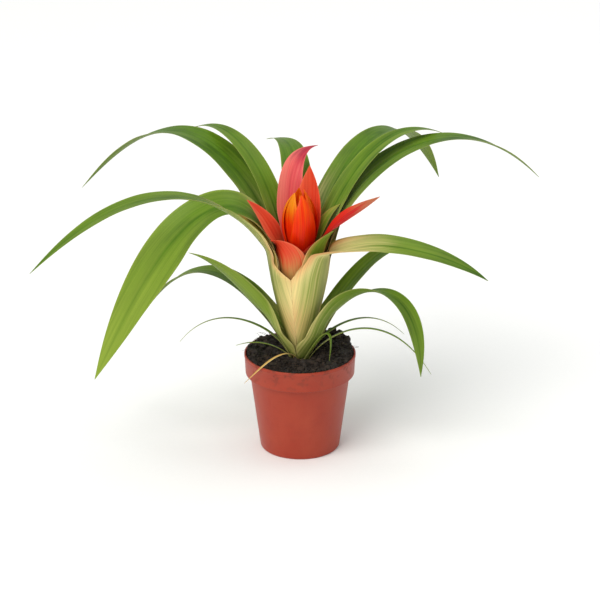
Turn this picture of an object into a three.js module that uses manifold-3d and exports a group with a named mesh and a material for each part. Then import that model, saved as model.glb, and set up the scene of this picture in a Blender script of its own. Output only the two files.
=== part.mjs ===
// A young guzmania in a plastic nursery pot: a funnel of overlapping green leaves round one stem,
// red and orange bracts standing out of the funnel, and a bud of flowers in the middle.
// Millimetres, +Z up. The origin is the middle of the pot's underside.
import * as THREE from 'three';
import { mergeVertices } from 'three/addons/utils/BufferGeometryUtils.js';
import Module from 'manifold-3d';

const wasm = await Module();
wasm.setup();

// Driving dimensions of the pot
const POT_HEIGHT = 63;
const RIM_RADIUS = 35;
const BASE_RADIUS = 25;
const COLLAR_HEIGHT = 13;
const COLLAR_STEP = 2.6;
const POT_WALL = 1.1;
const FLOOR_THICKNESS = 1.4;
const DRAIN_COUNT = 8;
const DRAIN_RADIUS = 2.6;
const DRAIN_CIRCLE = 18.5;
const BASE_EDGE = 0.8;
const RIM_EDGE = 0.4;
const COLLAR_TAPER = 0.8;
const COLLAR_LEDGE = 1.2;

// Driving dimensions of the soil, the stem, the flowers and the crown that the leaves grow from
const GAP = 0.3;
const CROWN_Z = 62;
const SOIL_Z = 60;
const FUNNEL_RADIUS = 7.6;
const FUNNEL_DEPTH = 6;
const STEM_RADIUS = 3.6;
const STEM_FOOT_Z = 45;
const STEM_TOP = 66;
const ROOT_RADIUS = 4.3;
const FLOWER_HEIGHT = 39;
const FLOWER_RADIUS = 2.2;
const RING_FLOWERS = 6;
const RING_HEIGHT = 31;
const RING_RADIUS = 2.9;
const RING_FLOWER_RADIUS = 1.9;

// Driving dimensions of the leaves. Heights are above the crown.
const BLADE = 0.75;
const TIP_HALF_WIDTH = 0.45;
const CUP_HEIGHT = 74;
const CUP_FLARE = 16.2;
const CUP_BEND = 1.6;
const CUP_PITCH = 1.34;
const CONE_SLOPE = 0.6;
const CONE_PITCH = 1.9;
const BRACT_SLOPE = 0.36;
const BRACT_FOOT = 50;
const BRACT_PITCH = 3.4;

// How far before and after its sheath's mouth a leaf turns, narrows and unrolls, in mm along it.
// A leaf may name its own narrow, twistStart, twistEnd and mouthShare.
const TURN_START = 14;
const TURN_END = 34;
const NARROW_START = 14;
const UNROLL_START = 4;
const UNROLL_END = 16;

// Shares: of a leaf's width to each side at its mouth, of its channel left at the tip, and of the
// blade's length where the twist begins and ends and the waist ends
const MOUTH_SHARE = 0.6;
const TIP_CHANNEL = 0.5;
const TWIST_START = 0.08;
const TWIST_END = 0.6;
const WAIST_END = 0.4;

// How finely leaves and turned pieces are cut
const SHEATH_STEPS = 20;
const ARCH_STEPS = 60;
const SMOOTH_PASSES = 6;
const TANGENT_STEP = 0.5;
const SPACING_SAMPLES = 400;
const MOUTH_DENSITY = 2.2;
const MOUTH_SPAN = 14;
const POT_SEGMENTS = 48;
const SOIL_SEGMENTS = 32;
const STEM_SEGMENTS = 14;
const HOLE_SEGMENTS = 12;
const FLOWER_SEGMENTS = 8;

const RAD = Math.PI / 180;

const PLASTIC = { color: 0xb0492f, roughness: 0.45, metalness: 0 };
const PEAT = { color: 0x2a1c14, roughness: 0.95, metalness: 0 };
const STEM_GREEN = { color: 0xb9c07a, roughness: 0.6, metalness: 0 };
const LEAF_GREEN = { color: 0x5c8f2a, roughness: 0.4, metalness: 0 };
const DRY_LEAF = { color: 0xb08b35, roughness: 0.6, metalness: 0 };
const BRACT_RED = { color: 0xd8352a, roughness: 0.42, metalness: 0 };
const BUD_ORANGE = { color: 0xf0521c, roughness: 0.42, metalness: 0 };
const FLOWER_YELLOW = { color: 0xf5a51e, roughness: 0.5, metalness: 0 };

function smooth(from, to, x) {
  const t = Math.min(1, Math.max(0, (x - from) / (to - from)));
  return t * t * (3 - 2 * t);
}

function mix(a, b, t) {
  return a + (b - a) * t;
}

// The layers that leaves are wound in. Each gives its root's height and its radius at a height.
function cupLayer(k) {
  const root = CUP_HEIGHT * (1 - (1 - (k * CUP_PITCH) / CUP_FLARE) ** (1 / CUP_BEND));
  const radius = (h) => {
    const rest = Math.max(0, 1 - h / CUP_HEIGHT);
    return ROOT_RADIUS - k * CUP_PITCH + CUP_FLARE * (1 - rest ** CUP_BEND);
  };
  return { root, radius };
}

function coneLayer(root, slope) {
  return { root, radius: (h) => ROOT_RADIUS + slope * (h - root) };
}

function baseLayer(k) {
  return coneLayer(-CONE_PITCH * (k + 1), CONE_SLOPE);
}

function bractLayer(k) {
  return coneLayer(BRACT_FOOT + BRACT_PITCH * k, BRACT_SLOPE);
}

// The middle line of a leaf as points of radius and height: up the sheath, then along a Bezier arch.
function middleLine(layer, mouth, arch) {
  const points = [];
  for (let i = 0; i <= SHEATH_STEPS; i += 1) {
    const h = mix(layer.root, mouth, i / SHEATH_STEPS);
    points.push(new THREE.Vector2(layer.radius(h), h));
  }
  const start = points[SHEATH_STEPS];
  const [launch, crest, tip] = arch.map(([r, h]) => new THREE.Vector2(r, h));
  const curve = new THREE.CubicBezierCurve(start, launch, crest, tip);
  for (let i = 1; i <= ARCH_STEPS; i += 1) points.push(curve.getPoint(i / ARCH_STEPS));
  for (let pass = 0; pass < SMOOTH_PASSES; pass += 1) {
    const old = points.map((p) => p.clone());
    for (let i = 1; i < points.length - 1; i += 1) {
      points[i].copy(old[i - 1]).add(old[i + 1]).multiplyScalar(0.25).addScaledVector(old[i], 0.5);
    }
  }
  const lengths = [0];
  for (let i = 1; i < points.length; i += 1) {
    lengths.push(lengths[i - 1] + points[i].distanceTo(points[i - 1]));
  }
  return { points, lengths, mouthLength: lengths[SHEATH_STEPS] };
}

function pointAt(line, s) {
  let i = 1;
  while (i < line.lengths.length - 1 && line.lengths[i] < s) i += 1;
  const t = (s - line.lengths[i - 1]) / (line.lengths[i] - line.lengths[i - 1]);
  return line.points[i - 1].clone().lerp(line.points[i], t);
}

// Where a leaf's rows stand along it: closer together round the mouth, where the sheath opens.
function rowLengths(total, mouthLength, rows) {
  const sums = [0];
  for (let i = 1; i <= SPACING_SAMPLES; i += 1) {
    const s = (total * (i - 0.5)) / SPACING_SAMPLES;
    sums.push(sums[i - 1] + 1 + MOUTH_DENSITY * Math.exp(-(((s - mouthLength) / MOUTH_SPAN) ** 2)));
  }
  const lengths = [0];
  let i = 0;
  for (let row = 1; row < rows; row += 1) {
    while (sums[i] < (sums[SPACING_SAMPLES] * row) / rows) i += 1;
    lengths.push((total * i) / SPACING_SAMPLES);
  }
  lengths.push(total);
  return lengths;
}

// A leaf or bract: a sheath wound round the axis that opens into a channelled blade with a pointed tip.
function leafGeometry(leaf) {
  const line = middleLine(leaf.layer, leaf.mouth, leaf.arch);
  const total = line.lengths[line.lengths.length - 1];
  const sheathEnd = line.mouthLength;
  const mouthRadius = leaf.layer.radius(leaf.mouth);
  const mouthReach = Math.min(leaf.width * leaf.mouthShare, leaf.sheathHalf);
  const mouthHalf = Math.min(leaf.wrap * RAD, mouthReach / mouthRadius);
  const up = new THREE.Vector3(0, 0, 1);

  const place = (s) => {
    const v = Math.max(0, s - sheathEnd) / (total - sheathEnd);
    const turn = leaf.turn * smooth(-TURN_START, TURN_END, s - sheathEnd);
    const azimuth = (leaf.azimuth + turn + leaf.sweep * v * v) * RAD;
    const p = pointAt(line, s);
    return new THREE.Vector3(p.x * Math.cos(azimuth), p.x * Math.sin(azimuth), p.y);
  };

  const rows = [];
  for (const s of rowLengths(total, sheathEnd, leaf.rows)) {
    const along = Math.max(0, s - sheathEnd);
    const v = along / (total - sheathEnd);
    const middle = place(s);
    const before = place(Math.max(0, s - TANGENT_STEP));
    const tangent = place(Math.min(total, s + TANGENT_STEP)).sub(before).normalize();
    const azimuth = Math.atan2(middle.y, middle.x);
    const outward = new THREE.Vector3(Math.cos(azimuth), Math.sin(azimuth), 0);
    const side = up.clone().cross(outward);
    side.addScaledVector(tangent, -side.dot(tangent)).normalize();
    const radius = Math.hypot(middle.x, middle.y);
    const opened = smooth(-UNROLL_START, UNROLL_END, s - sheathEnd);
    const face = outward.clone().negate().lerp(tangent.clone().cross(side), opened).normalize();
    const twist = leaf.twist * RAD * smooth(leaf.twistStart, leaf.twistEnd, v);
    side.applyAxisAngle(tangent, twist);
    face.applyAxisAngle(tangent, twist);

    let halfAngle = Math.min(leaf.wrap * RAD, leaf.sheathHalf / radius);
    halfAngle = mix(halfAngle, mouthHalf, smooth(-leaf.narrow, 0, s - sheathEnd));
    let halfWidth = halfAngle * radius;
    if (along > 0) {
      const channel = mix(leaf.channel, leaf.channel * TIP_CHANNEL, v) * RAD;
      const spread = mix(leaf.waist, 1, smooth(0, WAIST_END, v)) * (1 - v ** leaf.taper);
      const blade = Math.max(TIP_HALF_WIDTH, (leaf.width / 2) * spread);
      halfAngle = mix(mouthHalf, channel, smooth(0, leaf.opening, along));
      halfWidth = mix(mouthHalf * mouthRadius, blade, smooth(0, leaf.opening, along));
    }
    const curve = halfWidth / halfAngle;
    const row = [];
    for (let j = 0; j <= leaf.columns; j += 1) {
      const angle = mix(-halfAngle, halfAngle, j / leaf.columns);
      const point = middle.clone();
      point.addScaledVector(side, curve * Math.sin(angle));
      point.addScaledVector(face, curve * (1 - Math.cos(angle)));
      const normal = face.clone().multiplyScalar(Math.cos(angle));
      normal.addScaledVector(side, -Math.sin(angle));
      row.push({ point, normal });
    }
    rows.push(row);
  }
  return slabGeometry(rows, BLADE);
}

// A closed slab of one thickness about a grid of points, split into triangles alike on both faces.
function slabGeometry(rows, thickness) {
  const across = rows[0].length;
  const position = [];
  for (const half of [thickness / 2, -thickness / 2]) {
    for (const row of rows) {
      for (const { point, normal } of row) {
        const p = point.clone().addScaledVector(normal, half);
        position.push(p.x, p.y, p.z);
      }
    }
  }
  const under = rows.length * across;
  const index = [];
  const quad = (a, b, c, d) => index.push(a, b, c, b, d, c);
  for (let i = 0; i < rows.length - 1; i += 1) {
    for (let j = 0; j < across - 1; j += 1) {
      const a = i * across + j;
      const b = a + across;
      quad(a, b, a + 1, b + 1);
      index.push(under + a, under + a + 1, under + b);
      index.push(under + b, under + a + 1, under + b + 1);
    }
    const left = i * across;
    const right = left + across - 1;
    quad(left, left + under, left + across, left + across + under);
    quad(right, right + across, right + under, right + across + under);
  }
  const last = (rows.length - 1) * across;
  for (let j = 0; j < across - 1; j += 1) {
    quad(j, j + 1, j + under, j + 1 + under);
    quad(last + j, last + j + under, last + j + 1, last + j + 1 + under);
  }
  const geometry = new THREE.BufferGeometry();
  geometry.setAttribute('position', new THREE.Float32BufferAttribute(position, 3));
  geometry.setIndex(index);
  return geometry;
}

// A turned piece about +Z from a profile of radius and height that runs round its section.
function turned(profile, segments) {
  const geometry = new THREE.LatheGeometry(profile.map(([r, z]) => new THREE.Vector2(r, z)), segments);
  geometry.rotateX(Math.PI / 2);
  geometry.deleteAttribute('normal');
  geometry.deleteAttribute('uv');
  return mergeVertices(geometry);
}

function toSolid(geometry) {
  return new wasm.Manifold(new wasm.Mesh({
    numProp: 3,
    vertProperties: new Float32Array(geometry.attributes.position.array),
    triVerts: new Uint32Array(geometry.index.array),
  }));
}

function toGeometry(solid) {
  const mesh = solid.getMesh();
  const geometry = new THREE.BufferGeometry();
  geometry.setAttribute('position', new THREE.BufferAttribute(mesh.vertProperties, 3));
  geometry.setIndex(new THREE.BufferAttribute(mesh.triVerts, 1));
  return geometry;
}

// The pot: a tapered wall, a wider collar round the top, and a flat floor with drain holes near its edge.
const STEP_Z = POT_HEIGHT - COLLAR_HEIGHT;
const COLLAR_FOOT_RADIUS = RIM_RADIUS - COLLAR_TAPER;
const WALL_TOP_RADIUS = COLLAR_FOOT_RADIUS - COLLAR_STEP;

function potGeometry() {
  const profile = [
    [0, 0],
    [BASE_RADIUS - BASE_EDGE, 0],
    [BASE_RADIUS, BASE_EDGE],
    [WALL_TOP_RADIUS, STEP_Z - COLLAR_LEDGE / 2],
    [COLLAR_FOOT_RADIUS, STEP_Z],
    [RIM_RADIUS, POT_HEIGHT - RIM_EDGE],
    [RIM_RADIUS - RIM_EDGE, POT_HEIGHT],
    [RIM_RADIUS - POT_WALL, POT_HEIGHT],
    [COLLAR_FOOT_RADIUS - POT_WALL, STEP_Z + COLLAR_LEDGE],
    [WALL_TOP_RADIUS - POT_WALL, STEP_Z],
    [BASE_RADIUS - POT_WALL, FLOOR_THICKNESS],
    [0, FLOOR_THICKNESS],
  ];
  let pot = toSolid(turned(profile, POT_SEGMENTS));
  const drill = [
    [0, -1],
    [DRAIN_RADIUS, -1],
    [DRAIN_RADIUS, FLOOR_THICKNESS + 1],
    [0, FLOOR_THICKNESS + 1],
  ];
  for (let i = 0; i < DRAIN_COUNT; i += 1) {
    const hole = turned(drill, HOLE_SEGMENTS);
    const angle = ((i + 0.5) * 2 * Math.PI) / DRAIN_COUNT;
    hole.translate(DRAIN_CIRCLE * Math.cos(angle), DRAIN_CIRCLE * Math.sin(angle), 0);
    pot = pot.subtract(toSolid(hole));
  }
  return toGeometry(pot);
}

// The peat fills the pot, lumpy on top and banked up to the rim, with a plain funnel in the middle that
// the stem stands in.
const MOUND = { x: 21, y: 13, height: 6.5, spread: 190 };
const BANK = { x: -27, y: 3, height: 3.6, spread: 110 };
const RIM_BANK = { height: 3.2, from: 20, to: 32, turn: 0.3 };
const LUMP_HEIGHT = 0.7;
const LUMP_START = 13;
const SOIL_RINGS = [28.5, 24, 19, 14, 10.5, FUNNEL_RADIUS];

function soilRelief(x, y) {
  const heap = (m) => m.height * Math.exp(-((x - m.x) ** 2 + (y - m.y) ** 2) / m.spread);
  const lumps = Math.sin(0.55 * x + 1.3) * Math.cos(0.47 * y - 0.6) + 0.6 * Math.sin(0.9 * (x - y) + 2);
  const round = 0.55 + 0.45 * Math.sin(Math.atan2(y, x) + RIM_BANK.turn);
  const rim = RIM_BANK.height * smooth(RIM_BANK.from, RIM_BANK.to, Math.hypot(x, y)) * round;
  return heap(MOUND) + heap(BANK) + rim + LUMP_HEIGHT * lumps;
}

function soilGeometry() {
  const clear = POT_WALL + 2 * GAP;
  const floor = FLOOR_THICKNESS + GAP;
  const hole = STEM_RADIUS + 1.3 * GAP;
  const chamfer = 2;
  const profile = [
    [hole, floor + chamfer],
    [hole + chamfer, floor],
    [BASE_RADIUS - clear, floor],
    [WALL_TOP_RADIUS - clear, STEP_Z],
    [COLLAR_FOOT_RADIUS - clear, STEP_Z + COLLAR_LEDGE + 2 * GAP],
    [RIM_RADIUS - clear - 0.2, SOIL_Z],
    ...SOIL_RINGS.map((r) => [r, SOIL_Z]),
    [(FUNNEL_RADIUS + hole) / 2, SOIL_Z - 0.6 * FUNNEL_DEPTH],
    [hole, SOIL_Z - FUNNEL_DEPTH],
    [hole, floor + chamfer],
  ];
  const geometry = turned(profile, SOIL_SEGMENTS);
  const position = geometry.attributes.position;
  for (let i = 0; i < position.count; i += 1) {
    const x = position.getX(i);
    const y = position.getY(i);
    if (position.getZ(i) > SOIL_Z - GAP) {
      const fade = smooth(FUNNEL_RADIUS, LUMP_START, Math.hypot(x, y));
      position.setZ(i, SOIL_Z + fade * soilRelief(x, y));
    }
  }
  return geometry;
}

function stemGeometry() {
  const foot = STEM_FOOT_Z - CROWN_Z;
  return turned([
    [0, foot],
    [STEM_RADIUS - 1, foot],
    [STEM_RADIUS, foot + 2],
    [STEM_RADIUS, STEM_TOP - 1],
    [STEM_RADIUS - 1, STEM_TOP],
    [0, STEM_TOP],
  ], STEM_SEGMENTS);
}

// The flower buds: one slender pointed bud in the middle and a ring of them round it, grown together below.
function flowerGeometry() {
  const foot = STEM_TOP + GAP;
  const bud = (x, y, height, radius) => {
    const g = turned([
      [0, foot + 3],
      [radius * 0.8, foot + 3],
      [radius, foot + height * 0.45],
      [radius * 0.6, foot + height * 0.8],
      [0, foot + height],
    ], FLOWER_SEGMENTS);
    g.translate(x, y, 0);
    return toSolid(g);
  };
  const core = turned([
    [0, foot],
    [STEM_RADIUS - 0.4, foot],
    [STEM_RADIUS + 0.6, foot + 6],
    [STEM_RADIUS + 0.4, foot + 16],
    [0, foot + 24],
  ], STEM_SEGMENTS);
  let head = toSolid(core).add(bud(0, 0, FLOWER_HEIGHT, FLOWER_RADIUS));
  for (let i = 0; i < RING_FLOWERS; i += 1) {
    const angle = (i / RING_FLOWERS) * 2 * Math.PI;
    const height = RING_HEIGHT + 3 * (i % 2);
    const x = RING_RADIUS * Math.cos(angle);
    const y = RING_RADIUS * Math.sin(angle);
    head = head.add(bud(x, y, height, RING_FLOWER_RADIUS));
  }
  return toGeometry(head);
}

// Leaf kinds share their wrap, their section and how finely they are cut
const CUP = { wrap: 70, sheathHalf: 60, channel: 26, taper: 3, opening: 26, columns: 8, rows: 18 };
const INNER_CUP = { ...CUP, wrap: 52, columns: 6 };
const BASE = { wrap: 58, sheathHalf: 10, channel: 34, taper: 2.6, opening: 20, columns: 4, rows: 13 };
const SLENDER = { wrap: 20, sheathHalf: 1.6, channel: 25, taper: 2.4, opening: 8, columns: 2, rows: 11 };
const BRACT = {
  wrap: 46, sheathHalf: 8, channel: 36, taper: 2.4, opening: 14, waist: 0.7, columns: 4, rows: 11,
};
const BUD = { wrap: 52, sheathHalf: 9, channel: 46, taper: 2.6, opening: 10, columns: 4, rows: 9 };

// Each leaf: its layer and its sheath's azimuth, its width, the height of the sheath's mouth, and its
// arch's launch, crest and tip as radius and height. Azimuth 0 is the right side and 270 the front.
const LEAVES = [
  {
    name: 'leaf_front_left', kind: CUP, layer: cupLayer(0), azimuth: 185, turn: 27, width: 20, mouth: 69,
    arch: [[29, 85], [87, 164], [183, 90]], wrap: 69, narrow: 14,
  },
  {
    name: 'leaf_back_right', kind: CUP, layer: cupLayer(0), azimuth: 46, turn: 12, width: 25, mouth: 66,
    arch: [[38, 106], [116, 160], [178, 66]], wrap: 46,
  },
  {
    name: 'leaf_right', kind: CUP, layer: cupLayer(1), azimuth: 316, turn: 33, width: 22, mouth: 69,
    arch: [[24, 77], [80, 82], [117, 57]], wrap: 73, narrow: 21, mouthShare: 0.56,
    twist: 12, twistStart: 0.1, twistEnd: 0.3,
  },
  {
    name: 'leaf_back_left', kind: CUP, layer: cupLayer(1), azimuth: 137, width: 26, mouth: 70,
    arch: [[34, 99], [100, 174], [170, 78]], sweep: 10,
  },
  {
    name: 'leaf_broad_left', kind: INNER_CUP, layer: cupLayer(2), azimuth: 178, width: 29, mouth: 70,
    arch: [[28, 101], [61, 137], [130, -20]], wrap: 46, twist: -60,
  },
  {
    name: 'leaf_long_right', kind: INNER_CUP, layer: cupLayer(2.25), azimuth: 30, width: 22, mouth: 70,
    arch: [[30, 110], [106, 162], [180, 86]],
  },
  {
    name: 'leaf_inner_right', kind: INNER_CUP, layer: cupLayer(3), azimuth: 36, width: 17, mouth: 70,
    arch: [[25, 98], [62, 152], [116, 122]], rows: 15, wrap: 46,
  },
  {
    name: 'leaf_inner_left', kind: INNER_CUP, layer: cupLayer(3), azimuth: 129, width: 16, mouth: 70,
    arch: [[24, 101], [62, 150], [116, 118]], rows: 15, wrap: 45,
  },
  {
    name: 'leaf_short_left', kind: INNER_CUP, layer: cupLayer(1), azimuth: 219, turn: -10, width: 14,
    mouth: 68, arch: [[20, 79], [29, 88], [42, 99]], rows: 10, wrap: 11,
  },
  {
    name: 'leaf_short_right', kind: INNER_CUP, layer: cupLayer(3), azimuth: 297, turn: 25, width: 13,
    mouth: 66, arch: [[17, 74], [20, 82], [27, 88]], rows: 10, wrap: 43, narrow: 9,
  },
  {
    name: 'leaf_back', kind: INNER_CUP, layer: cupLayer(4), azimuth: 92, width: 20, mouth: 71,
    arch: [[20, 104], [52, 130], [106, 108]], sweep: 10,
  },
  {
    name: 'leaf_low_left', kind: BASE, layer: baseLayer(0), azimuth: 188, turn: 9, width: 19, mouth: 18,
    arch: [[29, 38], [50, 66], [71, 75]], wrap: 60, sheathHalf: 15, twist: 34, twistStart: 0, twistEnd: 0.3,
  },
  {
    name: 'leaf_low_right', kind: BASE, layer: baseLayer(0), azimuth: 321, turn: 12, width: 18, mouth: 17,
    arch: [[23, 50], [82, 80], [83, 0]], wrap: 71, sheathHalf: 16, twist: -24, twistStart: 0, twistEnd: 0.25,
  },
  {
    name: 'leaf_low_back_right', kind: BASE, layer: baseLayer(1), azimuth: 32, width: 17, mouth: 13,
    arch: [[30, 34], [72, 90], [118, 34]], wrap: 54,
  },
  {
    name: 'leaf_low_back_left', kind: BASE, layer: baseLayer(1), azimuth: 150, width: 20, mouth: 12,
    arch: [[30, 32], [72, 72], [116, 6]], wrap: 54,
  },
  {
    name: 'leaf_low_back', kind: BASE, layer: baseLayer(2), azimuth: 95, width: 14, mouth: 10,
    arch: [[26, 28], [58, 58], [96, 10]], wrap: 43,
  },
];

const SLENDER_LEAVES = [
  {
    name: 'slender_leaf_dry', layer: baseLayer(2), azimuth: 245, width: 2.2,
    arch: [[17, 11], [40, 16], [39, -13]], sweep: -38, material: DRY_LEAF,
  },
  {
    name: 'slender_leaf_front_left', layer: baseLayer(2), azimuth: 202, width: 2.4,
    arch: [[16, 8], [28, 15], [43, 12]],
  },
  {
    name: 'slender_leaf_front_right', layer: baseLayer(1), azimuth: 312, width: 2.8,
    arch: [[20, 20], [33, 35], [27, 3]],
  },
  {
    name: 'slender_leaf_right', layer: baseLayer(2), azimuth: 346, width: 3.2,
    arch: [[22, 20], [58, 38], [84, -6]],
  },
  {
    name: 'slender_leaf_back_right', layer: baseLayer(2), azimuth: 28, width: 3,
    arch: [[20, 16], [52, 26], [76, -2]],
  },
  {
    name: 'slender_leaf_left', layer: baseLayer(2), azimuth: 160, width: 3,
    arch: [[20, 18], [58, 30], [82, -4]],
  },
];

const BRACTS = [
  {
    name: 'bract_front', layer: cupLayer(4), kind: INNER_CUP, azimuth: 238, width: 24, mouth: 65,
    arch: [[14.6, 73], [16.2, 81], [18, 79]], sweep: -24, rows: 10, opening: 14, wrap: 50,
  },
  {
    name: 'bract_right', layer: bractLayer(0), azimuth: 330, turn: 16, width: 15, mouth: 68,
    arch: [[16, 86], [32, 96], [50, 111]], wrap: 53, mouthShare: 0.72, sheathHalf: 12, taper: 3.2, twist: 20,
  },
  {
    name: 'bract_left', layer: bractLayer(0), azimuth: 171, width: 17, mouth: 62,
    arch: [[16, 79], [22, 91], [33, 100]], twist: -30,
  },
  {
    name: 'bract_back', layer: bractLayer(1), azimuth: 120, width: 19, mouth: 64,
    arch: [[18, 93], [23, 124], [48, 122]], sweep: -44, taper: 3.2, rows: 13,
  },
  {
    name: 'bract_back_side', layer: bractLayer(1), azimuth: 28, width: 12, mouth: 64,
    arch: [[14, 82], [18, 92], [26, 100]], wrap: 42,
  },
  {
    name: 'bract_back_right', layer: bractLayer(2), azimuth: 68, width: 22, mouth: 66,
    arch: [[12.6, 82], [19, 100], [16, 119]], taper: 3, channel: 50,
  },
];

const BUD_BRACTS = [];
for (let i = 0; i < 6; i += 1) {
  const inner = i % 2;
  BUD_BRACTS.push({
    name: `bud_bract_${i + 1}`,
    layer: bractLayer(3 + inner),
    azimuth: 288 + 60 * i,
    width: 18 - 3 * inner,
    mouth: 70 + 2 * inner,
    arch: inner ? [[9.5, 84], [9.5, 98], [2.6, 109]] : [[12.5, 84], [12.5, 96], [4.8, 105]],
  });
}

function makeMesh(name, geometry, finish) {
  const mesh = new THREE.Mesh(geometry, new THREE.MeshStandardMaterial(finish));
  mesh.name = name;
  return mesh;
}

function growLeaf(spec, kind, finish) {
  const leaf = {
    twist: 0, twistStart: TWIST_START, twistEnd: TWIST_END, narrow: NARROW_START,
    mouthShare: MOUTH_SHARE, sweep: 0, turn: 0, waist: 1,
    ...(spec.kind ?? kind), ...spec,
  };
  return makeMesh(spec.name, leafGeometry(leaf), spec.material ?? finish);
}

const plant = new THREE.Group();
plant.position.z = CROWN_Z;
plant.add(makeMesh('stem', stemGeometry(), STEM_GREEN));
plant.add(makeMesh('flower_buds', flowerGeometry(), FLOWER_YELLOW));
for (const leaf of LEAVES) plant.add(growLeaf(leaf, CUP, LEAF_GREEN));
for (const leaf of SLENDER_LEAVES) plant.add(growLeaf({ mouth: 1, ...leaf }, SLENDER, LEAF_GREEN));
for (const bract of BRACTS) plant.add(growLeaf(bract, BRACT, BRACT_RED));
for (const bract of BUD_BRACTS) plant.add(growLeaf(bract, BUD, BUD_ORANGE));

const potted = new THREE.Group();
potted.add(makeMesh('pot', potGeometry(), PLASTIC));
potted.add(makeMesh('soil', soilGeometry(), PEAT));
potted.add(plant);

export default potted;
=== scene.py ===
import math
import random

import bmesh
import bpy
from bpy.props import FloatProperty, FloatVectorProperty, IntProperty, PointerProperty
from mathutils import Matrix, Vector, noise


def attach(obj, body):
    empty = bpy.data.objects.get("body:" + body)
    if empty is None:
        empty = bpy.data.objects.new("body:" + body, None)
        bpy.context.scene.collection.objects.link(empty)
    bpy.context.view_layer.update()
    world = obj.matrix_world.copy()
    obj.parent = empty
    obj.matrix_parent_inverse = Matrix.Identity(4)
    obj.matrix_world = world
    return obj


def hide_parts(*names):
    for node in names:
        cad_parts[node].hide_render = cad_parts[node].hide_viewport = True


bl_info = {
    "name": "Potted guzmania",
    "version": (1, 0, 0),
    "blender": (4, 5, 0),
    "location": "3D View > Sidebar > Guzmania",
    "description": "Builds a young guzmania in its nursery pot, piece by piece, and a plain studio round it",
    "category": "Add Mesh",
}

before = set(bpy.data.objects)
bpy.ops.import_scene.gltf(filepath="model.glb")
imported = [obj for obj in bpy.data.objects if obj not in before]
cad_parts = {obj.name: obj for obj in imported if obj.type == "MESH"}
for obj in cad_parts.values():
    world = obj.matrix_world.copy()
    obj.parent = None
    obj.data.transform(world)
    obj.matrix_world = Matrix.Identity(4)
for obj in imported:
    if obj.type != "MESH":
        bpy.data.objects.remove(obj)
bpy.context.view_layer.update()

MM = 0.001
BODY = "root"


def paint(red, green, blue):
    """A colour as the eye reads it, 0 to 255 a channel, as the linear values that shaders use."""
    def linear(value):
        value /= 255
        return value / 12.92 if value <= 0.04045 else ((value + 0.055) / 1.055) ** 2.4
    return (linear(red), linear(green), linear(blue))


def colour_prop(name, description, default):
    return FloatVectorProperty(name=name, description=description, subtype="COLOR", size=3,
                               min=0, max=1, default=default)


def length_prop(name, description, default_mm):
    return FloatProperty(name=name, description=description, subtype="DISTANCE", unit="LENGTH",
                         default=default_mm * MM)


def share_prop(name, description, default):
    return FloatProperty(name=name, description=description, subtype="FACTOR", min=0, max=1, default=default)


# Sizes and colours that a user would change

class PotSettings(bpy.types.PropertyGroup):
    rim_radius: length_prop("Rim radius", "Outer radius of the rim", 35)
    base_radius: length_prop("Base radius", "Outer radius of the foot", 25)
    height: length_prop("Height", "From the foot to the rim", 63)
    collar: length_prop("Collar", "Height of the wider band round the top", 13)
    wall: length_prop("Wall", "Thickness of the wall", 1.1)
    plastic: colour_prop("Plastic", "Colour of the moulded plastic", paint(155, 49, 26))
    plastic_worn: colour_prop("Worn plastic", "Colour where the plastic is scuffed", paint(171, 71, 44))


class PeatSettings(bpy.types.PropertyGroup):
    level: length_prop("Level", "Height of the peat at the stem", 60)
    clods: IntProperty(name="Clods", description="Larger lumps on the surface", default=150, min=0)
    crumbs: IntProperty(name="Crumbs", description="Small crumbs on the surface", default=2300, min=0)
    fibres: IntProperty(name="Fibres", description="Root and bark fibres on the surface", default=300, min=0)
    stray: share_prop("Stray fibres", "Share of the fibres that hang over the rim", 0.12)
    dark: colour_prop("Moist peat", "Colour of the peat in its hollows", paint(23, 17, 13))
    brown: colour_prop("Dry peat", "Colour of the crumbs that have dried", paint(64, 48, 35))


class LeafSettings(bpy.types.PropertyGroup):
    thickness: length_prop("Thickness", "Thickness of a blade at its middle", 0.55)
    green: colour_prop("Green", "Upper side of a blade", paint(82, 120, 14))
    dark_green: colour_prop("Deep green", "Darker patches of the upper side", paint(44, 80, 10))
    light_green: colour_prop("Light green", "Young and sunlit parts", paint(140, 163, 55))
    under_green: colour_prop("Under green", "Under side of a blade", paint(108, 134, 34))
    cream: colour_prop("Cream", "Sheaths, low on the leaf", paint(250, 232, 158))
    blush: colour_prop("Blush", "Margins round the mouth of a sheath", paint(224, 138, 84))
    bronze: colour_prop("Bronze", "Short leaf that has begun to colour", paint(150, 104, 40))
    withered: colour_prop("Withered", "The dry leaf at the foot", paint(196, 148, 62))


class BractSettings(bpy.types.PropertyGroup):
    thickness: length_prop("Thickness", "Thickness of a bract at its middle", 0.5)
    red: colour_prop("Red", "Main colour of a bract", paint(236, 52, 20))
    coral: colour_prop("Coral", "Lighter streaks and patches", paint(255, 136, 96))
    crimson: colour_prop("Crimson", "Deeper streaks and tips", paint(180, 26, 34))
    rose: colour_prop("Rose", "Main colour of the tall bract at the back", paint(226, 56, 74))
    blossom: colour_prop("Blossom", "Lighter streaks of the tall bract", paint(255, 140, 124))
    plum: colour_prop("Plum", "Bend and tip of the tall bract", paint(170, 26, 60))
    tan: colour_prop("Tan", "Foot of the bracts in the funnel", paint(208, 160, 92))
    olive: colour_prop("Olive", "Bracts and tips that are still green", paint(118, 146, 40))
    bud: colour_prop("Bud", "Main colour of the bud's bracts", paint(250, 42, 4))
    bud_deep: colour_prop("Deep bud", "Foot of the bud's bracts", paint(224, 26, 4))
    bud_orange: colour_prop("Bud streaks", "Streaks and margins of the bud's bracts", paint(255, 120, 20))
    bud_yellow: colour_prop("Bud tips", "Tips of the bud's bracts and the flowers", paint(255, 160, 24))


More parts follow.
